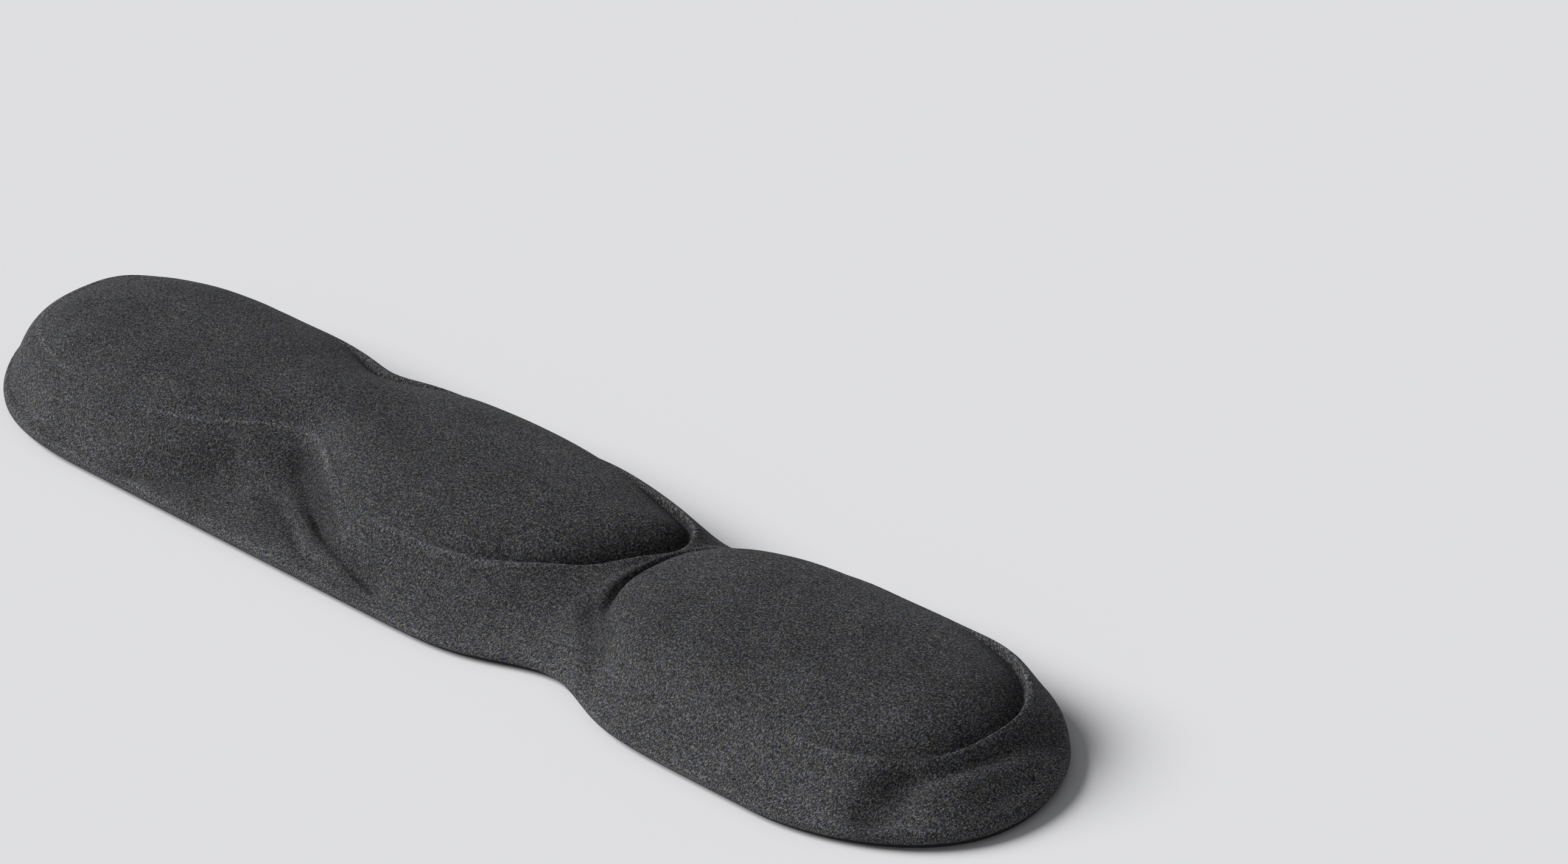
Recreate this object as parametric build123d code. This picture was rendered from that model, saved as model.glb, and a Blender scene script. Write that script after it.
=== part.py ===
from build123d import *
import math
import os

# Keyboard wrist rest: a low foam body with two soft raised cushions, one long with a
# waist (main keys) and one oval (number pad), under one stretch-knit cover, on a
# non-slip sheet. Millimetres. Origin: centre of the underside, +X along the length,
# +Y towards the keyboard, +Z up.

# ---- driving dimensions ----
cover_thickness = 1.0
sheet_thickness = 1.5
film_thickness = 0.2
hem_width = 9.0
edge_overhang = 1.6        # the cover reaches this far past the non-slip sheet
skirt_top = 5.0            # height of the thin skirt round the foot of the body
body_top = 15.0            # height of the body beside the cushions
cushion_top = 21.5         # height of the cushions over the foot, cover included
cushion_floor = 7.0        # height of the bottom of the cushion pockets
cushion_edge_radius = 4.5

cap_points = 12            # outline points round each end
side_spacing = 14.0        # spacing of the outline points along the sides

# Each end of an outline: where it ends, how long its rounded cap is, the height of its
# middle line, how far it reaches to the front and the back, how full the curve is, and
# how far its tip leans to the back.
foot_left = dict(tip=-224.3, cap=78.0, mid=1.5, front=43.0, back=39.5, fullness=2.1, lean=8.0)
foot_right = dict(tip=224.3, cap=60.0, mid=-0.5, front=40.5, back=42.0, fullness=2.0, lean=-3.0)
long_left = dict(tip=-214.3, cap=69.0, mid=7.0, front=30.0, back=31.0, fullness=2.5, lean=3.0)
long_right = dict(tip=58.0, cap=78.0, mid=8.0, front=29.0, back=32.0, fullness=1.9, lean=13.0)
oval_left = dict(tip=64.0, cap=62.0, mid=6.0, front=30.5, back=32.0, fullness=2.4, lean=2.0)
oval_right = dict(tip=203.7, cap=60.0, mid=6.0, front=30.5, back=32.0, fullness=2.4, lean=-2.0)

# A notch: where it is along the length, how wide and how deep it is.
waist_x = -79.3            # waist of the long cushion
neck_x = 63.2              # neck between the two cushions
foot_front_notches = [(neck_x + 5.8, 26.0, 10.0)]
foot_back_notches = [(neck_x - 1.5, 20.0, 4.5)]
body_front_notches = [(waist_x, 28.0, 15.0), (neck_x + 4.0, 18.0, 9.0)]
body_back_notches = [(waist_x - 7.0, 26.0, 4.5), (neck_x, 18.0, 4.0)]
long_front_notches = [(waist_x, 30.0, 19.0)]
long_back_notches = [(waist_x - 9.0, 23.0, 8.0)]


def blend(t):
    """Smooth step from 0 to 1."""
    t = min(max(t, 0.0), 1.0)
    return t * t * (3.0 - 2.0 * t)


def notch_depth(x, notches):
    return sum(depth * math.exp(-(((x - place) / width) ** 2)) for place, width, depth in notches)


def cap(end, side, grow):
    """Points round one end, from its front to its back; side is -1 left, 1 right."""
    length = end["cap"] + grow
    centre = end["tip"] - side * end["cap"]
    points = []
    for i in range(cap_points + 1):
        angle = -math.pi / 2 + math.pi * i / cap_points
        out = math.cos(angle) ** (2.0 / end["fullness"]) if 0 < i < cap_points else 0.0
        across = math.copysign(abs(math.sin(angle)) ** (2.0 / end["fullness"]), angle)
        reach = (end["front"] if across < 0 else end["back"]) + grow
        y = end["mid"] + reach * across + end["lean"] * out * out * (1.0 - across * across)
        points.append((centre + side * length * out, y, across))
    return points


def outline(left, right, front_notches=(), back_notches=(), grow=0.0, z=0.0):
    """Face of a closed smooth outline: two rounded ends joined by notched long sides."""
    left_cap = cap(left, -1, grow)
    right_cap = cap(right, 1, grow)
    sides = {}
    for name, row in (("front", 0), ("back", cap_points)):
        x0, y0, across = left_cap[row]
        x1, y1, _ = right_cap[row]
        count = round((x1 - x0) / side_spacing)
        steps = [k / count for k in range(1, count)]
        sides[name] = [(x0 + (x1 - x0) * s, y0 + (y1 - y0) * blend(s), across) for s in steps]
    ring = right_cap + sides["back"][::-1] + left_cap[::-1] + sides["front"]
    points = []
    for x, y, across in ring:
        y += notch_depth(x, front_notches) * -across if across < 0 else 0.0
        y -= notch_depth(x, back_notches) * across if across > 0 else 0.0
        points.append(Vector(x, y, z))
    return make_face(Spline(*points, periodic=True))


def foot(grow, z=0.0):
    return outline(foot_left, foot_right, foot_front_notches, foot_back_notches, grow, z)


def shoulder(grow, z):
    """Top edge of the foam body, a little outside the cushions."""
    left = dict(long_left, tip=long_left["tip"] - 3.0, front=34.0, back=33.0)
    right = dict(oval_right, tip=oval_right["tip"] + 3.0, front=34.0, back=33.0)
    return outline(left, right, body_front_notches, body_back_notches, grow, z)


def skirt_line(grow, z):
    """Foot of the sloping walls, where they meet the thin skirt."""
    left = dict(foot_left, tip=foot_left["tip"] + 4.0, front=38.5, back=37.0)
    right = dict(foot_right, tip=foot_right["tip"] - 4.0, front=38.0, back=39.0)
    return outline(left, right, body_front_notches, body_back_notches, grow, z)


def body_shape(grow):
    """Skirt and sloping body together, grown by the cover's thickness if wanted."""
    bottom = film_thickness + sheet_thickness
    skirt = extrude(foot(grow - cover_thickness, bottom), amount=skirt_top - cover_thickness + grow - bottom)
    low = skirt_line(grow - cover_thickness, skirt_top - 2.0 * cover_thickness + grow)
    high = shoulder(grow - cover_thickness, body_top - cover_thickness + grow)
    return skirt + loft([low, high], ruled=True)


def cushion_shape(left, right, front_notches, back_notches, grow):
    """A flat-bottomed cushion with a rolled top edge."""
    face = outline(left, right, front_notches, back_notches, grow - cover_thickness, cushion_floor)
    top = cushion_top - cover_thickness + grow
    block = extrude(face, amount=top - cushion_floor)
    rim = block.edges().group_by(Axis.Z)[-1]
    return fillet(rim, cushion_edge_radius + grow)


def long_cushion_shape(grow):
    return cushion_shape(long_left, long_right, long_front_notches, long_back_notches, grow)


def oval_cushion_shape(grow):
    return cushion_shape(oval_left, oval_right, (), (), grow)


def make_parts():
    long_cushion = long_cushion_shape(0.0)
    oval_cushion = oval_cushion_shape(0.0)
    sheet = extrude(foot(-edge_overhang), amount=sheet_thickness)
    film = extrude(foot(-edge_overhang - 1.0, sheet_thickness), amount=film_thickness)

    under = sheet_thickness + film_thickness
    hem = extrude(foot(0.0, under), amount=cover_thickness)
    hem -= extrude(foot(-hem_width, under), amount=cover_thickness)

    core = body_shape(0.0)
    foam = core - hem - long_cushion - oval_cushion

    skin = body_shape(cover_thickness) + long_cushion_shape(cover_thickness)
    skin += oval_cushion_shape(cover_thickness)
    cover = skin - core - long_cushion - oval_cushion + hem
    return {
        "non_slip_sheet": sheet,
        "adhesive_film": film,
        "foam_body": foam,
        "long_cushion": long_cushion,
        "oval_cushion": oval_cushion,
        "knit_cover": cover,
    }


os.makedirs("parts", exist_ok=True)
for name, shape in make_parts().items():
    print(name, len(shape.solids()), round(shape.volume), shape.bounding_box())
    export_step(shape, f"parts/{name}.step")
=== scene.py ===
import math
import bmesh
import bpy
import numpy as np
from mathutils import Matrix, Vector


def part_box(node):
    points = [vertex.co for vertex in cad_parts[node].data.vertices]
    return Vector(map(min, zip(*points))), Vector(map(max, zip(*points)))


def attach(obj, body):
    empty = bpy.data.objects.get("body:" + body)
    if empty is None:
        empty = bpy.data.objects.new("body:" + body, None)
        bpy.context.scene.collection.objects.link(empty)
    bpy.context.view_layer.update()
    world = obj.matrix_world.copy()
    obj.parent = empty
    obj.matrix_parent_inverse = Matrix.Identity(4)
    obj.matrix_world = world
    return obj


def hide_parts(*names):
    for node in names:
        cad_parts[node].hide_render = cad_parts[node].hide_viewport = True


# A keyboard wrist rest: two raised foam cushions in a low foam body, under one stretch-knit
# cover, on a non-slip sheet. Everything is in metres, in the CAD model's frame: +X along the
# length, +Y towards the keyboard, +Z up, the origin under the middle.

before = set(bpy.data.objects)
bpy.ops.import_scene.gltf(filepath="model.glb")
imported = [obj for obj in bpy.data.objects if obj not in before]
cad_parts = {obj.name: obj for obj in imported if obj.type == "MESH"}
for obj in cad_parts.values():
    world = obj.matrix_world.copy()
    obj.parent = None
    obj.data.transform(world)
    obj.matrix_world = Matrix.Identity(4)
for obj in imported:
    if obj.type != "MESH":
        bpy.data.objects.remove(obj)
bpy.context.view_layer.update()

mm = 0.001
cover_low, cover_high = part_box("knit_cover")
long_low, long_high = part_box("long_cushion")
oval_low, oval_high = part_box("oval_cushion")
sheet_low, sheet_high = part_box("non_slip_sheet")

# ---- sizes ----
cover_thickness = cover_high.z - long_high.z
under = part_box("adhesive_film")[1].z      # height of the cover's underside
pocket_floor = long_low.z                 # bottom of the cushions
crease_height = 15.0 * mm                 # where the cushions meet the body
crown = 0.4 * mm                          # the cushions are crowned this far over the CAD model's
dome_height_over_crease = cover_high.z + crown - crease_height
swell_place = 2.4 * mm                    # the body swells a little this far from a deep groove
deep_groove = 0.8 * mm                    # a groove is deep from here on
wall_seam = 0.8 * mm                      # how far the fabric sinks where wall and skirt meet
sheet_inset = cover_high.x - sheet_high.x  # the non-slip sheet ends this far inside the cover
hem_width = 9.0 * mm
bottom_radius = 0.6 * mm                  # where the cover turns under
fit_gap = 0.1 * mm                        # air between the pieces inside, measured straight up
inset = cover_thickness + fit_gap         # the pieces inside end this far inside the cover

# ---- mesh steps along the edge ----
cover_step = 0.8 * mm
foam_step = 2.0 * mm
sheet_step = 1.6 * mm


def end(tip, cap, mid, front, back, fullness, lean):
    """One rounded end of an outline, in metres but for its fullness."""
    return dict(tip=tip, cap=cap * mm, mid=mid * mm, front=front * mm, back=back * mm,
                fullness=fullness, lean=lean * mm)


def notch(place, width, depth):
    return place * mm, width * mm, depth * mm


# ---- outlines, the same as in the CAD model ----
waist = -79.3
neck = 63.2
foot_shape = dict(
    left=end(cover_low.x, 78.0, 1.5, 43.0, 39.5, 2.1, 8.0),
    right=end(cover_high.x, 60.0, -0.5, 40.5, 42.0, 2.0, -3.0),
    front=[notch(neck + 5.8, 26.0, 10.0)],
    back=[notch(neck - 1.5, 20.0, 4.5)],
)
long_shape = dict(
    left=end(long_low.x - cover_thickness, 69.0, 7.0, 30.0, 31.0, 2.5, 3.0),
    right=end(long_high.x + cover_thickness, 78.0, 8.0, 29.0, 32.0, 1.9, 13.0),
    front=[notch(waist, 30.0, 19.0)],
    back=[notch(waist - 9.0, 23.0, 8.0)],
)
oval_shape = dict(
    left=end(oval_low.x - cover_thickness, 62.0, 6.0, 30.5, 32.0, 2.4, 2.0),
    right=end(oval_high.x + cover_thickness, 60.0, 6.0, 30.5, 32.0, 2.4, -2.0),
    front=[],
    back=[],
)
# Foot of the sloping walls, where they meet the thin skirt in front of the waist.
wall_shape = dict(
    left=end(cover_low.x + 1.0 * mm, 77.0, 1.5, 39.5, 39.0, 2.1, 8.0),
    right=end(cover_high.x - 1.0 * mm, 59.0, -0.5, 39.8, 41.5, 2.0, -3.0),
    front=[notch(waist + 6.0, 30.0, 16.5), notch(neck + 5.8, 26.0, 9.5)],
    back=[notch(neck - 1.5, 20.0, 4.5)],
)

# ---- cross-sections of the body, from the crease to the edge ----
# Each is at a place along the front or back edge: how high the slope is at a fifth, two, three
# and four fifths of its way (1 is the crease, 0 its foot), then the height of its foot and of
# the edge, the radius of the edge and how steep the edge's round starts (degrees).
FRONT, BACK = -1, 1
sections = [
    # x,     side,   slope at fifths,          foot, edge, radius, start
    (218.0, BACK, (0.78, 0.68, 0.50, 0.25), 5.5, 5.4, 3.0, 50.0),
    (180.0, BACK, (0.94, 0.82, 0.62, 0.34), 8.0, 7.8, 3.0, 55.0),
    (110.0, BACK, (0.95, 0.84, 0.64, 0.36), 8.5, 8.3, 3.0, 55.0),
    (neck, BACK, (0.90, 0.74, 0.52, 0.27), 7.0, 6.8, 2.5, 45.0),
    (10.0, BACK, (0.95, 0.84, 0.64, 0.36), 8.5, 8.3, 3.0, 55.0),
    (waist, BACK, (0.92, 0.80, 0.60, 0.33), 8.0, 7.8, 3.0, 55.0),
    (-170.0, BACK, (0.95, 0.84, 0.66, 0.38), 8.0, 7.8, 3.5, 55.0),
    (-218.0, BACK, (0.98, 0.92, 0.78, 0.48), 7.0, 6.8, 4.0, 60.0),
    (-218.0, FRONT, (0.96, 0.86, 0.66, 0.36), 6.0, 5.8, 3.5, 50.0),
    (-185.0, FRONT, (0.92, 0.76, 0.52, 0.25), 5.2, 5.0, 2.0, 20.0),
    (-145.0, FRONT, (0.88, 0.70, 0.46, 0.20), 5.0, 4.8, 1.5, 5.0),
    (waist, FRONT, (0.86, 0.66, 0.42, 0.18), 5.0, 4.8, 1.5, 5.0),
    (-45.0, FRONT, (0.86, 0.66, 0.44, 0.22), 5.0, 4.8, 1.5, 5.0),
    (-8.0, FRONT, (0.74, 0.48, 0.27, 0.11), 4.2, 4.0, 1.3, 15.0),
    (35.0, FRONT, (0.72, 0.46, 0.25, 0.10), 4.0, 3.9, 1.2, 15.0),
    (neck + 2.0, FRONT, (0.74, 0.52, 0.32, 0.15), 4.2, 4.0, 1.3, 25.0),
    (110.0, FRONT, (0.72, 0.46, 0.25, 0.10), 4.0, 3.9, 1.2, 15.0),
    (165.0, FRONT, (0.74, 0.48, 0.27, 0.11), 4.2, 4.0, 1.3, 20.0),
    (205.0, FRONT, (0.74, 0.60, 0.42, 0.20), 4.8, 4.6, 2.0, 40.0),
    (222.0, FRONT, (0.72, 0.58, 0.41, 0.21), 4.8, 4.6, 2.5, 45.0),
]


# How a cushion's edge rolls up from its crease, at places round it: x, y, the height of the
# roll and its width. Between the places the roll is a blend of them.
long_rolls = [
    (-208.0, 8.0, 2.2, 6.0),
    (-160.0, -23.0, 2.0, 7.0),
    (-105.0, -12.0, 2.0, 6.0),
    (-76.0, -4.0, 2.4, 6.0),
    (-20.0, -22.0, 2.8, 7.0),
    (30.0, -10.0, 6.0, 8.5),
    (54.0, 12.0, 6.9, 9.5),
    (48.0, 32.0, 6.9, 10.0),
    (10.0, 40.0, 5.2, 8.0),
    (-45.0, 38.0, 3.4, 6.0),
    (-90.0, 31.0, 2.0, 7.0),
    (-125.0, 37.0, 3.2, 6.0),
    (-170.0, 38.0, 4.0, 5.0),
]
oval_rolls = [
    (66.0, 6.0, 2.6, 4.5),
    (110.0, -24.0, 2.0, 7.0),
    (150.0, -26.0, 3.0, 9.0),
    (190.0, -18.0, 6.4, 11.5),
    (203.0, 4.0, 6.9, 11.0),
    (190.0, 30.0, 6.6, 10.5),
    (140.0, 38.0, 4.6, 7.0),
    (90.0, 36.0, 3.8, 5.0),
]

# The crease at places round it: x, y, how deep the fabric is drawn in, how wide the groove is on
# the cushion's side and on the body's side, how much the body swells beside it, how wide the
# swell is, and how strong the painted highlight along the crease is (0 to 100).
creases = [
    (-208.0, 8.0, 0.1, 0.9, 0.9, 0.7, 1.2, 70.0),
    (-190.0, -14.0, 0.0, 0.9, 0.9, 0.6, 1.0, 90.0),
    (-150.0, -23.0, 0.0, 0.9, 0.9, 0.1, 1.0, 15.0),
    (-118.0, -18.0, 0.0, 0.9, 0.9, 0.5, 0.9, 80.0),
    (-96.0, -7.0, 0.1, 0.9, 0.9, 0.9, 1.1, 100.0),
    (-73.0, -5.0, 0.1, 0.9, 0.9, 1.2, 1.6, 80.0),
    (-60.0, -11.0, 0.1, 0.9, 0.9, 1.1, 1.5, 75.0),
    (-46.0, -17.5, 0.1, 0.9, 0.9, 0.7, 1.3, 45.0),
    (-32.0, -21.0, 0.1, 0.9, 0.9, 0.3, 1.1, 10.0),
    (-8.0, -22.0, 0.3, 0.9, 0.9, 0.6, 1.0, 80.0),
    (12.0, -17.0, 0.5, 0.9, 0.9, 0.6, 1.1, 80.0),
    (32.0, -9.0, 1.2, 1.8, 0.9, 0.8, 1.3, 70.0),
    (54.0, 12.0, 2.8, 4.0, 0.9, 0.9, 1.7, 70.0),
    (50.0, 30.0, 2.8, 4.0, 0.9, 0.6, 1.6, 30.0),
    (10.0, 40.0, 1.0, 0.9, 0.9, 0.4, 1.5, 10.0),
    (-45.0, 37.0, 1.2, 0.9, 0.9, 0.6, 1.8, 10.0),
    (-88.0, 31.0, 1.8, 0.9, 1.6, 1.3, 2.3, 10.0),
    (-125.0, 37.0, 1.2, 0.9, 0.9, 0.6, 1.8, 10.0),
    (-165.0, 38.0, 0.8, 0.9, 0.9, 0.4, 1.6, 10.0),
    (-200.0, 28.0, 0.3, 0.9, 0.9, 0.4, 1.6, 20.0),
    (74.0, -13.0, 1.0, 0.9, 2.2, 0.2, 1.5, 0.0),
    (66.5, -3.0, 3.4, 0.9, 3.9, 0.0, 1.5, 0.0),
    (65.0, 8.0, 3.7, 0.9, 4.1, 0.0, 1.5, 0.0),
    (70.0, 20.0, 3.4, 0.9, 3.8, 0.0, 1.5, 0.0),
    (82.0, 32.0, 1.8, 0.9, 2.4, 0.3, 1.5, 0.0),
    (92.0, -23.0, 0.2, 0.9, 0.9, 0.2, 1.4, 15.0),
    (130.0, -26.0, 0.1, 0.9, 0.9, 0.1, 1.4, 5.0),
    (165.0, -25.0, 0.3, 0.9, 0.9, 0.5, 1.5, 25.0),
    (183.0, -20.0, 0.8, 2.0, 0.9, 1.2, 1.9, 45.0),
    (197.0, -11.0, 1.6, 3.5, 0.9, 2.2, 2.3, 65.0),
    (204.0, 4.0, 2.2, 4.0, 0.9, 2.3, 2.3, 65.0),
    (198.0, 24.0, 2.2, 4.0, 0.9, 1.4, 1.9, 45.0),
    (130.0, 38.0, 0.9, 0.9, 0.9, 0.4, 1.5, 10.0),
]

# Soft folds of the body beside the cushions: points (x, y) along the fold, how far it rises
# (or sinks, where it's negative), how wide it is to the left and to the right of its run, and
# over how much of its length it fades in and out.
folds = [
    # round the right end: a valley, a broad ridge, a dip before the edge and one at the corner
    ([(207, 44), (210, 26), (209, 8), (205.5, -2.5), (201, -12), (196.5, -21), (196, -29)],
     -1.6, 5.3, 5.3, 0.3, 0.25),
    ([(213, 46), (215.5, 24), (214, 5), (211.5, -7), (210, -15), (211, -22), (214, -34)],
     0.6, 7.5, 7.5, 0.3, 0.3),
    ([(220, 16), (219, 6), (218.5, -4), (216, -14)], -0.8, 3.5, 4.0, 0.35, 0.35),
    ([(203, -12), (200, -19), (200.5, -27), (203, -36)], -2.1, 7.0, 7.0, 0.35, 0.3),
    # the waist: a ridge below the left lobe, a hollow beside it, the valley under the middle
    # with its steep far side, and the crisp line that runs on from it
    ([(-104, -3), (-92, -12), (-82, -18), (-71, -25), (-60, -31)], 1.1, 5.0, 5.0, 0.3, 0.4),
    ([(-130, -41), (-108, -31), (-94, -24), (-82, -17)], -0.9, 4.6, 4.6, 0.3, 0.4),
    ([(-84, 0), (-76, -7.5), (-64, -13), (-49, -20.5), (-35, -27.5), (-20, -32.5)],
     -3.2, 3.4, 4.8, 0.25, 0.4),
    ([(-68, -15.5), (-59, -18.8), (-50.5, -22), (-40, -26.8), (-25, -31.5), (-8, -34.5), (4, -37)],
     -1.8, 2.8, 1.1, 0.35, 0.15),
    # the neck: a dip down to the front
    ([(57, -1), (66, -11), (75, -17), (84, -23), (91, -33)], -2.3, 4.8, 4.8, 0.3, 0.35),
]


def smooth(low, high, x):
    t = np.clip((x - low) / (high - low), 0.0, 1.0)
    return t * t * (3.0 - 2.0 * t)


def cap(e, side):
    """Points round one end e, front to back; side is -1 left, 1 right.

    The third value, across, runs from -1 at the front to 1 at the back."""
    angle = np.linspace(-math.pi / 2, math.pi / 2, 301)
    out = np.abs(np.cos(angle)) ** (2.0 / e["fullness"])
    across = np.sign(angle) * np.abs(np.sin(angle)) ** (2.0 / e["fullness"])
    reach = np.where(across < 0, e["front"], e["back"])
    x = e["tip"] - side * e["cap"] + side * e["cap"] * out
    y = e["mid"] + reach * across + e["lean"] * out**2 * (1.0 - across**2)
    return x, y, across


def outline(shape):
    """A closed outline as a dense ring of points, from its right tip through the back."""
    xl, yl, al = cap(shape["left"], -1)
    xr, yr, ar = cap(shape["right"], 1)
    t = np.linspace(0.0, 1.0, 302)[1:-1]
    ease = smooth(0.0, 1.0, t)
    front = (xl[0] + (xr[0] - xl[0]) * t, yl[0] + (yr[0] - yl[0]) * ease, -np.ones(300))
    back = (xl[-1] + (xr[-1] - xl[-1]) * t, yl[-1] + (yr[-1] - yl[-1]) * ease, np.ones(300))
    ring = [np.concatenate(parts) for parts in zip(
        (xr, yr, ar), [v[::-1] for v in back], (xl[::-1], yl[::-1], al[::-1]), front)]
    x, y, across = ring
    for place, width, depth in shape["front"]:
        y = y + np.where(across < 0, -across, 0.0) * depth * np.exp(-((x - place) / width) ** 2)
    for place, width, depth in shape["back"]:
        y = y - np.where(across > 0, across, 0.0) * depth * np.exp(-((x - place) / width) ** 2)
    points = np.roll(np.stack([x, y], 1), -int(np.argmax(x)), axis=0)
    step = np.linalg.norm(points - np.roll(points, 1, axis=0), axis=1)
    return points[step > 1e-7]


def distance(points, ring):
    """Distance from each point to a ring, positive inside it."""
    flat = points.reshape(-1, 2)
    nearest = np.full(len(flat), 1e9)
    inside = np.zeros(len(flat), bool)
    for a, b in zip(ring, np.roll(ring, -1, axis=0)):
        run = b - a
        along = np.clip(((flat - a) @ run) / (run @ run), 0.0, 1.0)
        gap = flat - a - along[:, None] * run
        nearest = np.minimum(nearest, (gap**2).sum(1))
        if a[1] != b[1]:
            crosses = (a[1] > flat[:, 1]) != (b[1] > flat[:, 1])
            inside ^= crosses & (flat[:, 0] < run[0] * (flat[:, 1] - a[1]) / run[1] + a[0])
    signed = np.where(inside, 1.0, -1.0) * np.sqrt(nearest)
    return signed.reshape(points.shape[:-1])


def relief(points):
    """How far the folds raise the body at plan points."""
    flat = points.reshape(-1, 2)
    total = np.zeros(len(flat))
    for line, height, width_left, width_right, fade_in, fade_out in folds:
        line = np.array(line, float) * mm
        for _ in range(3):
            early, late = line[:-1] * 0.75 + line[1:] * 0.25, line[:-1] * 0.25 + line[1:] * 0.75
            line = np.vstack([line[:1], np.stack([early, late], 1).reshape(-1, 2), line[-1:]])
        lengths = np.linalg.norm(np.diff(line, axis=0), axis=1)
        before = np.concatenate([[0.0], np.cumsum(lengths)])
        nearest, way, left = np.full(len(flat), 1e9), np.zeros(len(flat)), np.zeros(len(flat), bool)
        for k, length in enumerate(lengths):
            run = line[k + 1] - line[k]
            along = np.clip(((flat - line[k]) @ run) / length**2, 0.0, 1.0)
            off = flat - line[k] - along[:, None] * run
            gap = np.linalg.norm(off, axis=1)
            way = np.where(gap < nearest, (before[k] + along * length) / before[-1], way)
            left = np.where(gap < nearest, run[0] * off[:, 1] > run[1] * off[:, 0], left)
            nearest = np.minimum(gap, nearest)
        fade = smooth(0.0, fade_in, way) * smooth(1.0, 1.0 - fade_out, way)
        width = np.where(left, width_left, width_right) * mm
        total += height * mm * fade * np.exp(-((nearest / width) ** 2.6))
    return total.reshape(points.shape[:-1])


foot_ring = outline(foot_shape)
long_ring = outline(long_shape)
oval_ring = outline(oval_shape)
wall_ring = outline(wall_shape)


class Edge:
    """The foot's outline, with its length, outward normals and cross-sections."""

    def __init__(self, ring):
        self.points = np.vstack([ring, ring[:1]])
        steps = np.linalg.norm(np.diff(self.points, axis=0), axis=1)
        self.length = np.concatenate([[0.0], np.cumsum(steps)])
        run = np.roll(ring, -1, axis=0) - np.roll(ring, 1, axis=0)
        normal = np.stack([run[:, 1], -run[:, 0]], 1)
        normal /= np.linalg.norm(normal, axis=1)[:, None]
        self.normal = np.vstack([normal, normal[:1]])
        self.left_tip = int(np.argmin(ring[:, 0]))

    def place(self, x, side):
        """Length along the outline to the point at x on the front or the back."""
        half = slice(0, self.left_tip + 1) if side == BACK else slice(self.left_tip, None)
        xs, lengths = self.points[half, 0], self.length[half]
        return np.interp(x, xs[::-1], lengths[::-1]) if side == BACK else np.interp(x, xs, lengths)

    def at(self, length):
        length = np.mod(length, self.length[-1])
        point = np.stack([np.interp(length, self.length, self.points[:, k]) for k in (0, 1)], 1)
        normal = np.stack([np.interp(length, self.length, self.normal[:, k]) for k in (0, 1)], 1)
        return point, normal / np.linalg.norm(normal, axis=1)[:, None]

    def section(self, length):
        """The body's cross-section at each length, eased between the listed ones."""
        total = self.length[-1]
        places = np.array([self.place(s[0] * mm, s[1]) for s in sections])
        values = np.array([[*s[2], s[3] * mm, s[4] * mm, s[5] * mm, math.radians(s[6])]
                           for s in sections])
        places = np.concatenate([[places[-1] - total], places, [places[0] + total]])
        values = np.vstack([values[-1:], values, values[:1]])
        length = np.mod(length, total)
        k = np.clip(np.searchsorted(places, length) - 1, 0, len(places) - 2)
        t = smooth(0.0, 1.0, (length - places[k]) / (places[k + 1] - places[k]))
        return values[k] + (values[k + 1] - values[k]) * t[:, None]


edge = Edge(foot_ring)
neck_front = edge.place((neck + 3.8) * mm, FRONT)
neck_back = edge.place((neck - 1.5) * mm, BACK)
neck_bow = -3.8 * mm                      # the line between the halves bows round the oval cushion


def evenly(start, stop, step):
    count = max(2, int(round(abs(stop - start) / step)) + 1)
    return np.linspace(start, stop, count)


def crossing(starts, stops, ring):
    """Where each line from a start to a stop first crosses a ring."""
    a, b = ring, np.roll(ring, -1, axis=0)
    run, side = (stops - starts)[:, None, :], (b - a)[None, :, :]
    gap = a[None, :, :] - starts[:, None, :]
    across = run[..., 0] * side[..., 1] - run[..., 1] * side[..., 0]
    across = np.where(np.abs(across) < 1e-15, 1e-15, across)
    along = (gap[..., 0] * side[..., 1] - gap[..., 1] * side[..., 0]) / across
    on = (gap[..., 0] * run[..., 1] - gap[..., 1] * run[..., 0]) / across
    hit = (on >= -1e-6) & (on <= 1.0 + 1e-6) & (along > 1e-6)
    return np.where(hit, along, 2.0).min(axis=1)


table_reach = 6.0 * mm                    # how far a table's place keeps its own values


def blended(points, table):
    """The values of a table's rows after their places (x, y), blended between the places."""
    rows = np.array(table) * mm
    flat = points.reshape(-1, 2)
    gap = np.linalg.norm(flat[:, None, :] - rows[None, :, :2], axis=2)
    weight = 1.0 / (gap**2 + table_reach**2) ** 1.5
    values = (weight @ rows[:, 2:]) / weight.sum(axis=1)[:, None]
    return values.reshape(points.shape[:-1] + values.shape[-1:])


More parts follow.
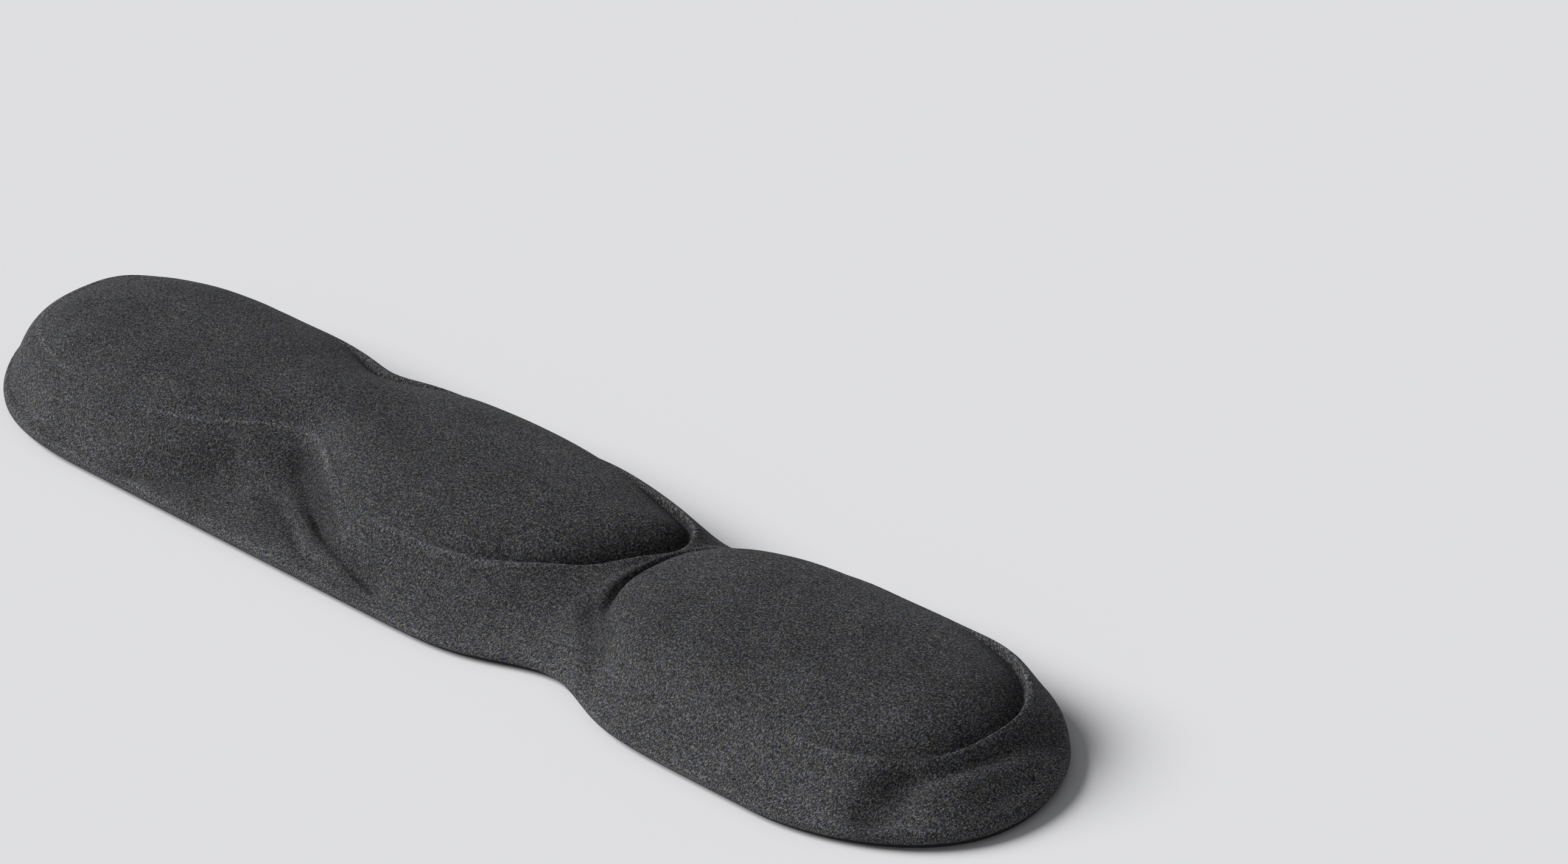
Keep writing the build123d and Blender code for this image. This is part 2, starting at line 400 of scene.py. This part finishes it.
def half(shape, ring, step):
    """The columns of one half of the body, in a ring round one cushion.

    Each column is a straight line in plan from the cushion's spine, through its crease, to the
    edge of the foot or to the neck line between the halves."""
    left, right = shape["left"], shape["right"]
    a, b = left["tip"] + left["cap"], right["tip"] - right["cap"]
    spine = (left["mid"] + right["mid"]) / 2.0
    xs = evenly(a, b, step)
    common_front, common_back = edge.place(xs, FRONT), edge.place(xs[::-1], BACK)
    total = edge.length[-1]
    if shape is long_shape:
        lengths = np.concatenate([
            evenly(neck_back, common_back[0], step)[:-1], common_back[:-1],
            evenly(common_back[-1], common_front[0], step)[:-1], common_front[:-1],
            evenly(common_front[-1], neck_front, step)])
    else:
        lengths = np.concatenate([
            evenly(neck_front, common_front[0], step)[:-1], common_front[:-1],
            evenly(common_front[-1], common_back[0] + total, step)[:-1], common_back[:-1] + total,
            evenly(common_back[-1] + total, neck_back + total, step)])
    outer, normal = edge.at(lengths)
    section = edge.section(lengths)
    radius, start = section[:, 6], section[:, 7]
    inner = outer - normal * (radius * (1.0 - np.sin(start)))[:, None]
    # the neck line, from the half's last point back to its first
    count = int(round(np.linalg.norm(inner[-1] - inner[0]) / step)) + 1
    t = np.linspace(0.0, 1.0, count)[1:-1, None]
    line = inner[-1] + (inner[0] - inner[-1]) * t
    line[:, 0] += neck_bow * np.sin(math.pi * t[:, 0])
    ends = np.vstack([inner, line])
    neck_section = section[-1] + (section[0] - section[-1]) * smooth(0.0, 1.0, t)
    along = np.concatenate([outer[:, 0], line[:, 0]])
    starts = np.stack([np.clip(along, a, b), np.full(len(ends), spine)], 1)
    crease = starts + (ends - starts) * crossing(starts, ends, ring)[:, None]
    return dict(
        spine=starts,
        crease=crease,
        roll=blended(crease, long_rolls if shape is long_shape else oval_rolls),
        inner=ends,
        outer=np.vstack([outer, line]),
        normal=np.vstack([normal, np.zeros_like(line)]),
        section=np.vstack([section, neck_section]),
        at_edge=np.arange(len(ends)) < len(outer),
        ring=ring,
    )


def slope(fraction, section):
    """Height of the slope, 1 to 0, at each fraction of its way: a smooth curve through fifths."""
    knots = np.concatenate([np.ones(section.shape[:-1] + (1,)), section[..., :4],
                            np.zeros(section.shape[:-1] + (1,))], axis=-1)
    place = np.clip(fraction, 0.0, 1.0) * 5.0
    k = np.clip(place.astype(int), 0, 4)
    t = place - k
    pick = lambda j: np.take_along_axis(knots, np.clip(j, 0, 5)[..., None], axis=-1)[..., 0]
    before, low, high, after = pick(k - 1), pick(k), pick(k + 1), pick(k + 2)
    m0 = np.where(k > 0, (high - before) / 2.0, high - low)
    m1 = np.where(k < 4, (after - low) / 2.0, high - low)
    return ((2 * t**3 - 3 * t**2 + 1) * low + (t**3 - 2 * t**2 + t) * m0
            + (3 * t**2 - 2 * t**3) * high + (t**3 - t**2) * m1)


def unevenness(points):
    """Soft foam is never quite true: a very slight wave of the surface."""
    x, y = points[..., 0], points[..., 1]
    wave = np.sin(x * 61.0 + 1.3) * np.sin(y * 97.0 + 0.4)
    wave += 0.7 * np.sin(x * 143.0 - y * 71.0 + 2.1)
    wave += 0.4 * np.sin(x * 251.0 + y * 233.0)
    return 0.07 * mm * wave


painted_highlight_width = 0.6                          # width of the painted highlight line as a part of the swell's


def crease_shape(points, outward):
    """The swell beside the crease, the groove in it and the painted highlight along it.

    outward is the distance from the crease, negative on the cushion. Where the groove is
    shallow the swell lies right on it, as a raised line."""
    depth, inner, outer, swell, width, pale = np.moveaxis(blended(points, creases), -1, 0)
    place = swell_place * np.clip(depth / deep_groove, 0.0, 1.0)
    beside = (outward - place) / width
    on_cushion = np.exp(-np.abs(outward) / inner)
    on_body = np.exp(-(np.clip(outward, 0.0, None) / outer) ** 3)
    sunken = depth * np.where(outward > 0, on_body, on_cushion)
    # painted highlight: a pale line painted along the crease
    pale = pale / (100.0 * mm) * np.exp(-(beside / painted_highlight_width) ** 2)
    return swell * np.exp(-beside**2), sunken, pale


def dome_height(points, part, cut=0.0):
    """Height of a cushion's top over the plan points of rows from its spine to its crease.

    cut is how far straight down from the cover's outside it is taken."""
    depth = np.clip(distance(points, part["ring"]), 0.0, None)
    way = np.linalg.norm(points - part["spine"], axis=-1)
    way = way / np.linalg.norm(part["crease"] - part["spine"], axis=-1)
    roll_height, roll_width = part["roll"][:, 0], part["roll"][:, 1]
    rolled = 1.0 - np.exp(-depth / roll_width) * smooth(0.0, 0.3, way)
    height = crease_height + roll_height * rolled
    height += (dome_height_over_crease - roll_height) * (1.0 - np.clip(way, 0.0, 1.0) ** 2.4)
    swell, groove, _ = crease_shape(points, -depth)
    height += swell - groove
    return height + unevenness(points) - cut


def body_height(points, part, cut=0.0):
    """Height of the body over the plan points of rows from the crease to the edge, less cut."""
    off_long, off_oval = distance(points, long_ring), distance(points, oval_ring)
    off_crease = np.minimum(np.abs(off_long), np.abs(off_oval))
    off_wall = distance(points, wall_ring)
    off_edge = np.clip(distance(points, foot_ring), 0.0, None)
    section = np.broadcast_to(part["section"], points.shape[:-1] + part["section"].shape[-1:])
    inside = np.clip(off_wall, 0.0, None)
    fraction = off_crease / np.maximum(off_crease + inside, 1e-9)
    foot, rim = section[..., 4], section[..., 5]
    height = foot + (crease_height - foot) * slope(fraction, section)
    beyond = np.clip(-off_wall, 0.0, None)
    height += (rim - foot) * beyond / np.maximum(beyond + off_edge, 1e-9)
    # the folds end at the crease and just before the edge
    free = (1.0 - np.exp(-off_crease / (1.5 * mm))) * smooth(0.0, 4.0 * mm, off_edge)
    height += relief(points) * free
    seam = np.exp(-np.abs(off_wall) / (1.2 * mm)) * smooth(3.0 * mm, 8.0 * mm, off_edge)
    height -= wall_seam * seam
    swell, groove, _ = crease_shape(points, off_crease)
    return height + swell - groove + unevenness(points) - cut


def rows_between(start, stop, fractions):
    return start[None] + (stop - start)[None] * fractions[:, None, None]


def cover_rows(part, dome_count=28, body_count=28):
    """The cover's outer surface: spine to crease, crease to edge, over the edge, hem."""
    near = 1.0 - (1.0 - np.linspace(0.0, 1.0, dome_count)) ** 1.7
    dome = rows_between(part["spine"], part["crease"], near)
    far = np.linspace(0.0, 1.0, body_count) ** 1.6
    body = rows_between(part["crease"], part["inner"], far)[1:]
    top = np.concatenate([dome, body])
    height = np.concatenate([dome_height(dome, part), body_height(body, part)])
    rows = [np.dstack([top, height])]

    radius, start = part["section"][:, 6], part["section"][:, 7]
    edge_height = height[-1]
    centre = edge_height - radius * np.cos(start)
    over = []
    for t in np.linspace(0.0, 1.0, 6)[1:]:
        angle = start + (math.pi / 2 - start) * t
        out = part["outer"] - part["normal"] * (radius * (1.0 - np.sin(angle)))[:, None]
        over.append(np.column_stack([out, centre + radius * np.cos(angle)]))
    low = under + bottom_radius
    for t in (0.5, 1.0):
        over.append(np.column_stack([part["outer"], centre + (low - centre) * t]))
    for t in np.linspace(0.0, 1.0, 5)[1:]:
        angle = t * math.pi / 2
        out = part["outer"] - part["normal"] * bottom_radius * (1.0 - math.cos(angle))
        z = low - bottom_radius * math.sin(angle)
        over.append(np.column_stack([out, np.full(len(out), z)]))
    for t in (0.2, 0.5, 1.0):
        turned = bottom_radius + (hem_width - bottom_radius) * t
        out = part["outer"] - part["normal"] * turned
        over.append(np.column_stack([out, np.full(len(out), under)]))
    rows.append(np.stack(over))
    return np.concatenate(rows), len(top)


def fabric(rows):
    """The fabric's own coordinates and its painted light and shade at the points of rows.

    The coordinates are x and y as if unrolled, and the distance to the foot's edge. The painted
    light
    and shade is: painted light near the foot's edge, painted shade where sunken, and a painted
    highlight on the crease, each 0 to 1."""
    plan = rows[..., :2]
    run = np.linalg.norm(np.diff(rows, axis=0), axis=2)
    along = np.concatenate([np.zeros((1, rows.shape[1])), np.cumsum(run, axis=0)])
    reach = np.linalg.norm(plan - plan[0], axis=2)
    furthest = plan[reach.argmax(axis=0), np.arange(rows.shape[1])]
    heading = (furthest - plan[0]) / np.maximum(reach.max(axis=0), 1e-9)[:, None]
    flat = plan[0][None] + heading[None] * along[:, :, None]
    to_edge = np.clip(distance(plan, foot_ring), 0.0, None)
    outward = -np.maximum(distance(plan, long_ring), distance(plan, oval_ring))
    _, groove, pale = crease_shape(plan, outward)
    painted_shade_depth, painted_edge_light_width = 2.5 * mm, 11.0 * mm
    # painted shade: the fabric is painted darker the deeper it lies in a groove or fold
    sunken = np.clip((groove - relief(plan) * (outward > 0)) / painted_shade_depth, 0.0, 1.0)
    # painted light: the fabric is painted brighter towards the foot's edge, where bounce light from
    # the floor would fall
    painted_edge_light = np.exp(-to_edge / painted_edge_light_width)
    unrolled, painted_light = np.dstack([flat, to_edge]), np.dstack([painted_edge_light, sunken, pale])
    return unrolled.reshape(-1, 3), painted_light.reshape(-1, 3)


def weave(name, grids, knitted=False):
    """One mesh from grids of rows round a loop of columns; welded where the grids meet.

    Each grid is (rows, first row that only the columns at the foot's edge have, which columns
    those are). A knitted mesh also carries the fabric's coordinates and its painted light and
    shade."""
    points, faces, cloth, tone = [], [], [], []
    offset = 0
    for rows, edge_from, at_edge in grids:
        count, columns = rows.shape[:2]
        index = offset + np.arange(count * columns).reshape(count, columns)
        right = np.roll(index, -1, axis=1)
        quads = np.stack([index[:-1], index[1:], right[1:], right[:-1]], axis=-1)
        both = at_edge & np.roll(at_edge, -1)
        keep = np.ones(quads.shape[:2], bool)
        keep[edge_from - 1:] = both[None]
        faces.append(quads[keep])
        points.append(rows.reshape(-1, 3))
        if knitted:
            unrolled, painted_light = fabric(rows)
            cloth.append(unrolled)
            tone.append(painted_light)
        offset += count * columns
    mesh = bpy.data.meshes.new(name)
    mesh.from_pydata(np.concatenate(points).tolist(), [], np.concatenate(faces).tolist())
    # the tone attribute carries the painted light and shade
    for label, values in (("cloth", cloth), ("tone", tone)) if knitted else ():
        layer = mesh.attributes.new(label, "FLOAT_VECTOR", "POINT")
        layer.data.foreach_set("vector", np.concatenate(values).astype(np.float32).ravel())
    work = bmesh.new()
    work.from_mesh(mesh)
    bmesh.ops.remove_doubles(work, verts=work.verts, dist=2e-6)
    bmesh.ops.dissolve_degenerate(work, edges=work.edges, dist=1e-7)
    loose = [v for v in work.verts if not v.link_faces]
    bmesh.ops.delete(work, geom=loose, context="VERTS")
    bmesh.ops.recalc_face_normals(work, faces=work.faces)
    work.to_mesh(mesh)
    work.free()
    mesh.polygons.foreach_set("use_smooth", np.ones(len(mesh.polygons), bool))
    thing = bpy.data.objects.new(name, mesh)
    bpy.context.scene.collection.objects.link(thing)
    return thing


# ---- materials ----
def material(name):
    made = bpy.data.materials.new(name)
    made.use_nodes = True
    tree = made.node_tree
    return made, tree, tree.nodes["Principled BSDF"]


def node(tree, kind, **settings):
    made = tree.nodes.new(kind)
    for key, value in settings.items():
        setattr(made, key, value)
    return made


def maths(tree, operation, *values):
    made = node(tree, "ShaderNodeMath", operation=operation)
    for socket, value in zip(made.inputs, values):
        if isinstance(value, bpy.types.NodeSocket):
            tree.links.new(value, socket)
        else:
            socket.default_value = value
    return made.outputs[0]


def ramp(tree, factor, stops):
    made = node(tree, "ShaderNodeValToRGB")
    tree.links.new(factor, made.inputs["Fac"])
    elements = made.color_ramp.elements
    while len(elements) < len(stops):
        elements.new(0.5)
    for element, (place, colour) in zip(elements, stops):
        element.position = place
        element.color = (*colour, 1.0)
    return made.outputs["Color"]


def noise(tree, vector, scale, detail=3.0, stretch=(1.0, 1.0, 1.0)):
    """Noise at a scale (cells per metre), finer along the axes with a larger stretch."""
    moved = node(tree, "ShaderNodeMapping")
    moved.inputs["Scale"].default_value = stretch
    tree.links.new(vector, moved.inputs["Vector"])
    made = node(tree, "ShaderNodeTexNoise")
    made.inputs["Scale"].default_value = scale
    made.inputs["Detail"].default_value = detail
    tree.links.new(moved.outputs["Vector"], made.inputs["Vector"])
    return made.outputs["Fac"]


def bump(tree, shader, height, strength, depth):
    made = node(tree, "ShaderNodeBump")
    made.inputs["Strength"].default_value = strength
    made.inputs["Distance"].default_value = depth
    tree.links.new(height, made.inputs["Height"])
    tree.links.new(made.outputs["Normal"], shader.inputs["Normal"])


def knit_material():
    """Fine charcoal stretch knit: little loops in rows of flecked, matt yarn."""
    made, tree, shader = material("charcoal_knit")
    loop = 0.46 * mm                      # width of one knit loop
    course = 0.40 * mm                    # height of one row of loops
    cloth = node(tree, "ShaderNodeAttribute", attribute_name="cloth").outputs["Vector"]
    parts = node(tree, "ShaderNodeSeparateXYZ")
    tree.links.new(cloth, parts.inputs["Vector"])
    wander = maths(tree, "MULTIPLY", noise(tree, cloth, 260.0, 2.0), 0.5 * mm)
    across = maths(tree, "DIVIDE", maths(tree, "ADD", parts.outputs["X"], wander), loop)
    along = maths(tree, "DIVIDE", maths(tree, "ADD", parts.outputs["Y"], wander), course)
    column = maths(tree, "ABSOLUTE", maths(tree, "SINE", maths(tree, "MULTIPLY", across, math.pi)))
    slant = maths(tree, "MULTIPLY", column, 0.45)
    turn = maths(tree, "MULTIPLY", maths(tree, "ADD", along, slant), 2.0 * math.pi)
    row = maths(tree, "MULTIPLY_ADD", maths(tree, "SINE", turn), 0.5, 0.5)
    loops = maths(tree, "MULTIPLY", column, maths(tree, "MULTIPLY_ADD", row, 0.6, 0.4))

    flecks = noise(tree, cloth, 3600.0, 2.0, (1.0, 0.75, 0.2))
    melange = noise(tree, cloth, 2000.0, 2.0, (1.0, 0.75, 0.2))
    patches = noise(tree, cloth, 55.0, 4.0)
    shade = -0.81                         # brings the sum to the middle of the ramp
    for part, amount in ((flecks, 1.15), (melange, 1.15), (patches, 0.16), (loops, 0.16)):
        shade = maths(tree, "MULTIPLY_ADD", part, amount, shade)
    yarn = ramp(tree, shade, [
        (0.20, (0.0077, 0.0077, 0.0080)), (0.42, (0.0285, 0.0285, 0.0295)),
        (0.56, (0.0525, 0.0528, 0.0550)), (0.80, (0.155, 0.156, 0.162))])
    tint = ramp(tree, noise(tree, cloth, 620.0, 2.0), [
        (0.30, (0.91, 0.93, 1.11)), (0.5, (1.0, 1.0, 1.0)), (0.70, (1.06, 1.05, 0.91))])
    mixed = node(tree, "ShaderNodeMix", data_type="RGBA", blend_type="MULTIPLY")
    mixed.inputs["Factor"].default_value = 1.0
    tree.links.new(yarn, mixed.inputs["A"])
    tree.links.new(tint, mixed.inputs["B"])
    # painted light and shade: the colour is painted brighter towards the edge of the foot and as a
    # highlight along the crease, and painted darker as shade in the grooves and folds
    painted_light_parts = node(tree, "ShaderNodeSeparateXYZ")
    painted_light_attribute = node(tree, "ShaderNodeAttribute", attribute_name="tone").outputs["Vector"]
    tree.links.new(painted_light_attribute, painted_light_parts.inputs["Vector"])
    lighter = node(tree, "ShaderNodeVectorMath", operation="SCALE")
    tree.links.new(mixed.outputs["Result"], lighter.inputs[0])
    painted_edge_light, painted_fold_shade, painted_crease_highlight = 0.50, -0.30, 0.7
    tone = maths(tree, "MULTIPLY_ADD", painted_light_parts.outputs["X"], painted_edge_light, 1.0)
    for socket, change in (("Y", painted_fold_shade), ("Z", painted_crease_highlight)):
        factor = maths(tree, "MULTIPLY_ADD", painted_light_parts.outputs[socket], change, 1.0)
        tone = maths(tree, "MULTIPLY", tone, factor)
    tree.links.new(tone, lighter.inputs["Scale"])
    tree.links.new(lighter.outputs["Vector"], shader.inputs["Base Color"])

    tree.links.new(maths(tree, "MULTIPLY_ADD", flecks, 0.22, 0.62), shader.inputs["Roughness"])
    shader.inputs["Specular IOR Level"].default_value = 0.03
    shader.inputs["Sheen Weight"].default_value = 0.02
    shader.inputs["Sheen Roughness"].default_value = 0.45
    shader.inputs["Sheen Tint"].default_value = (0.80, 0.82, 0.88, 1.0)

    bump(tree, shader, maths(tree, "MULTIPLY_ADD", flecks, 0.9, loops), 0.55, 0.12 * mm)
    return made


def foam_material(name, dark, light, cell):
    """Open-celled foam; cell is the width of a cell."""
    made, tree, shader = material(name)
    place = node(tree, "ShaderNodeTexCoord").outputs["Object"]
    cells = node(tree, "ShaderNodeTexVoronoi")
    cells.inputs["Scale"].default_value = 1.0 / cell
    tree.links.new(place, cells.inputs["Vector"])
    tone = maths(tree, "ADD", maths(tree, "MULTIPLY", cells.outputs["Distance"], 0.6),
                 maths(tree, "MULTIPLY", noise(tree, place, 70.0), 0.5))
    tree.links.new(ramp(tree, tone, [(0.2, dark), (0.8, light)]), shader.inputs["Base Color"])
    shader.inputs["Roughness"].default_value = 0.95
    shader.inputs["Specular IOR Level"].default_value = 0.1
    bump(tree, shader, cells.outputs["Distance"], 0.7, 0.3 * mm)
    return made


def rubber_material():
    """Matt black rubber with a fine raised mesh, as on non-slip sheets."""
    made, tree, shader = material("black_rubber")
    place = node(tree, "ShaderNodeTexCoord").outputs["Object"]
    parts = node(tree, "ShaderNodeSeparateXYZ")
    tree.links.new(place, parts.inputs["Vector"])
    pitch = 2.2 * mm
    lines = []
    for a, b in ((1.0, 1.0), (1.0, -1.0)):
        both = maths(tree, "ADD", maths(tree, "MULTIPLY", parts.outputs["X"], a),
                     maths(tree, "MULTIPLY", parts.outputs["Y"], b))
        wave = maths(tree, "SINE", maths(tree, "MULTIPLY", both, 2.0 * math.pi / pitch))
        lines.append(maths(tree, "ABSOLUTE", wave))
    mesh = maths(tree, "MINIMUM", *lines)
    dust = noise(tree, place, 400.0, 4.0)
    tone = maths(tree, "MULTIPLY_ADD", mesh, 0.3, maths(tree, "MULTIPLY", dust, 0.7))
    tree.links.new(ramp(tree, tone, [(0.2, (0.009, 0.009, 0.010)), (0.8, (0.030, 0.030, 0.031))]),
                   shader.inputs["Base Color"])
    tree.links.new(maths(tree, "MULTIPLY_ADD", dust, 0.25, 0.6), shader.inputs["Roughness"])
    bump(tree, shader, mesh, 0.6, 0.25 * mm)
    return made


def film_material():
    made, tree, shader = material("adhesive")
    place = node(tree, "ShaderNodeTexCoord").outputs["Object"]
    tone = ramp(tree, noise(tree, place, 300.0, 4.0),
                [(0.3, (0.20, 0.19, 0.165)), (0.7, (0.34, 0.32, 0.28))])
    tree.links.new(tone, shader.inputs["Base Color"])
    shader.inputs["Roughness"].default_value = 0.45
    return made


def floor_material():
    made, tree, shader = material("pale_floor")
    shader.inputs["Base Color"].default_value = (0.82, 0.82, 0.83, 1.0)
    shader.inputs["Roughness"].default_value = 0.9
    shader.inputs["Specular IOR Level"].default_value = 0.1
    return made


# ---- pieces ----
def make_cover():
    grids = []
    for shape, ring in ((long_shape, long_ring), (oval_shape, oval_ring)):
        part = half(shape, ring, cover_step)
        rows, edge_from = cover_rows(part)
        grids.append((rows, edge_from, part["at_edge"]))
    cover = weave("stretch_knit_cover", grids, knitted=True)
    skin = cover.modifiers.new("thickness", "SOLIDIFY")
    skin.thickness = cover_thickness
    skin.offset = -1.0
    bpy.context.view_layer.objects.active = cover
    bpy.ops.object.modifier_apply(modifier=skin.name)
    cover.data.materials.append(knit_material())
    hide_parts("knit_cover")
    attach(cover, "root")


def make_cushion(name, node_name, shape, ring, foam):
    """A soft foam cushion: crowned on top, flat where it rests in its pocket."""
    part = half(shape, ring, foam_step)
    side = part["crease"] - part["spine"]
    side = side / np.linalg.norm(side, axis=1)[:, None]
    near = 1.0 - (1.0 - np.linspace(0.0, 1.0, 16)) ** 1.6
    rim_gap, round_off = 0.6 * mm, 1.2 * mm
    rim = part["crease"] - side * rim_gap
    top = rows_between(part["spine"], rim, near)
    height = dome_height(top, part, inset)
    rows = [np.dstack([top, height])]
    low = pocket_floor + fit_gap
    for t in (0.35, 0.7, 1.0):
        rows.append(np.column_stack([rim, height[-1] + (low + round_off - height[-1]) * t])[None])
    for t in (0.5, 1.0):
        angle = t * math.pi / 2
        plan = rim - side * round_off * (1.0 - math.cos(angle))
        z = low + round_off * (1.0 - math.sin(angle))
        rows.append(np.column_stack([plan, np.full(len(rim), z)])[None])
    floor = rows_between(rim - side * round_off, part["spine"], np.linspace(0.0, 1.0, 7)[1:])
    rows.append(np.dstack([floor, np.full(floor.shape[:2], low)]))
    rows = np.concatenate(rows)
    cushion = weave(name, [(rows, len(rows), part["at_edge"])])
    cushion.data.materials.append(foam)
    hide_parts(node_name)
    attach(cushion, "root")


def make_body():
    """The foam body: pockets for the cushions, sloping walls, and a step for the hem."""
    grids = []
    for shape, ring in ((long_shape, long_ring), (oval_shape, oval_ring)):
        part = half(shape, ring, foam_step)
        columns = len(part["spine"])
        low = pocket_floor - fit_gap
        floor = rows_between(part["spine"], part["crease"], np.linspace(0.0, 1.0, 8))
        body = rows_between(part["crease"], part["inner"] - part["normal"] * inset,
                            np.linspace(0.0, 1.0, 14) ** 1.3)
        height = body_height(body, part, inset)
        rows = [np.dstack([floor, np.full(floor.shape[:2], low)]), np.dstack([body, height])]
        edge_from = len(floor) + len(body)
        wall = part["outer"] - part["normal"] * inset
        step_height = under + inset
        for t in (0.35, 1.0):
            rows.append(np.column_stack([wall, height[-1] + (step_height - height[-1]) * t])[None])
        rows = np.concatenate(rows)
        grids.append((rows, edge_from, part["at_edge"]))
        hem_edge = part["outer"] - part["normal"] * (hem_width + fit_gap)
        base = [np.column_stack([wall, np.full(columns, step_height)])[None],
                np.column_stack([hem_edge, np.full(columns, step_height)])[None],
                np.column_stack([hem_edge, np.full(columns, under + fit_gap)])[None]]
        inner = rows_between(hem_edge, part["spine"], np.linspace(0.0, 1.0, 8)[1:])
        base.append(np.dstack([inner, np.full(inner.shape[:2], under + fit_gap)]))
        base = np.concatenate(base)[::-1]
        # along the neck line between the halves there's neither a wall nor a hem
        at_neck = ~part["at_edge"]
        base[-3:, at_neck] = base[-3, at_neck]
        grids.append((base, len(base), part["at_edge"]))
    body = weave("foam_core", grids)
    dark, light = (0.030, 0.030, 0.033), (0.075, 0.075, 0.080)
    body.data.materials.append(foam_material("grey_foam", dark, light, 0.9 * mm))
    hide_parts("foam_body")
    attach(body, "root")


def make_sheet():
    """The non-slip rubber sheet, with a softly rounded edge."""
    grids = []
    top, round_off = sheet_high.z, 0.4 * mm
    for shape, ring in ((long_shape, long_ring), (oval_shape, oval_ring)):
        part = half(shape, ring, sheet_step)
        columns = len(part["spine"])
        inside = part["outer"] - part["normal"] * (sheet_inset + round_off)
        face = rows_between(part["spine"], inside, np.linspace(0.0, 1.0, 12))
        rows = [np.dstack([face, np.full(face.shape[:2], top)])]
        for t in np.linspace(0.0, 1.0, 4)[1:]:
            out = inside + part["normal"] * round_off * math.sin(t * math.pi / 2)
            z = top - round_off * (1.0 - math.cos(t * math.pi / 2))
            rows.append(np.column_stack([out, np.full(columns, z)])[None])
        for t in np.linspace(0.0, 1.0, 4):
            out = inside + part["normal"] * round_off * math.cos(t * math.pi / 2)
            z = round_off * (1.0 - math.sin(t * math.pi / 2))
            rows.append(np.column_stack([out, np.full(columns, z)])[None])
        rows = np.concatenate(rows)
        grids.append((rows, len(face), part["at_edge"]))
        below = np.dstack([face, np.full(face.shape[:2], sheet_low.z)])
        grids.append((below, len(face), part["at_edge"]))
    sheet = weave("grip_sheet", grids)
    sheet.data.materials.append(rubber_material())
    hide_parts("non_slip_sheet")
    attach(sheet, "root")


def make_stage():
    reach = 12.0
    corners = [(-reach, -reach, 0), (reach, -reach, 0), (reach, reach, 0), (-reach, reach, 0)]
    mesh = bpy.data.meshes.new("floor")
    mesh.from_pydata(corners, [], [(0, 1, 2, 3)])
    floor = bpy.data.objects.new("floor", mesh)
    bpy.context.scene.collection.objects.link(floor)
    floor.data.materials.append(floor_material())


def make_camera():
    """A view from the front right and above, slightly rolled, through a long lens."""
    azimuth, elevation, roll = math.radians(55.7), math.radians(26.1), math.radians(-9.0)
    target, reach = Vector((0.0236, 0.0839, 0.010)), 1.769
    ahead = Vector((-math.sin(azimuth) * math.cos(elevation),
                    math.cos(azimuth) * math.cos(elevation), -math.sin(elevation)))
    level = Vector((math.cos(azimuth), math.sin(azimuth), 0.0))
    over = level.cross(ahead)
    right = level * math.cos(roll) + over * math.sin(roll)
    up = right.cross(ahead)
    lens = bpy.data.cameras.new("camera")
    lens.lens = 150.5
    lens.clip_start, lens.clip_end = 0.05, 60.0
    camera = bpy.data.objects.new("camera", lens)
    bpy.context.scene.collection.objects.link(camera)
    turn = Matrix((right, up, -ahead)).transposed().to_4x4()
    camera.matrix_world = Matrix.Translation(target - ahead * reach) @ turn
    bpy.context.scene.camera = camera


def make_lights():
    """One broad light from the left and above, and an even surround, pale along the horizon."""
    data = bpy.data.lights.new("key", "SUN")
    data.energy = 4.0
    data.angle = math.radians(35.0)
    light = bpy.data.objects.new("key", data)
    light.rotation_mode = "QUATERNION"
    light.rotation_quaternion = Vector((0.75, 0.36, -0.56)).to_track_quat("-Z", "Y")
    bpy.context.scene.collection.objects.link(light)
    world = bpy.data.worlds.new("studio")
    world.use_nodes = True
    tree = world.node_tree
    background = tree.nodes["Background"]
    background.inputs["Color"].default_value = (0.94, 0.95, 0.97, 1.0)
    heading = node(tree, "ShaderNodeSeparateXYZ")
    tree.links.new(node(tree, "ShaderNodeTexCoord").outputs["Generated"], heading.inputs["Vector"])
    overhead = node(tree, "ShaderNodeMapRange")
    horizon, above = (0.05, 0.85), (0.12, 0.19)   # sine of the height in the sky, and strength
    for place, (height, strength) in (("Min", horizon), ("Max", above)):
        overhead.inputs["From " + place].default_value = height
        overhead.inputs["To " + place].default_value = strength
    tree.links.new(heading.outputs["Z"], overhead.inputs["Value"])
    tree.links.new(overhead.outputs["Result"], background.inputs["Strength"])
    bpy.context.scene.world = world
    bpy.context.scene.view_settings.view_transform = "Standard"


make_camera()
make_lights()
make_stage()
make_cover()
soft_foam = foam_material("soft_foam", (0.060, 0.060, 0.066), (0.14, 0.14, 0.15), 0.6 * mm)
make_cushion("long_soft_cushion", "long_cushion", long_shape, long_ring, soft_foam)
make_cushion("oval_soft_cushion", "oval_cushion", oval_shape, oval_ring, soft_foam)
make_body()
make_sheet()
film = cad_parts["adhesive_film"]
film.data.materials.clear()
film.data.materials.append(film_material())
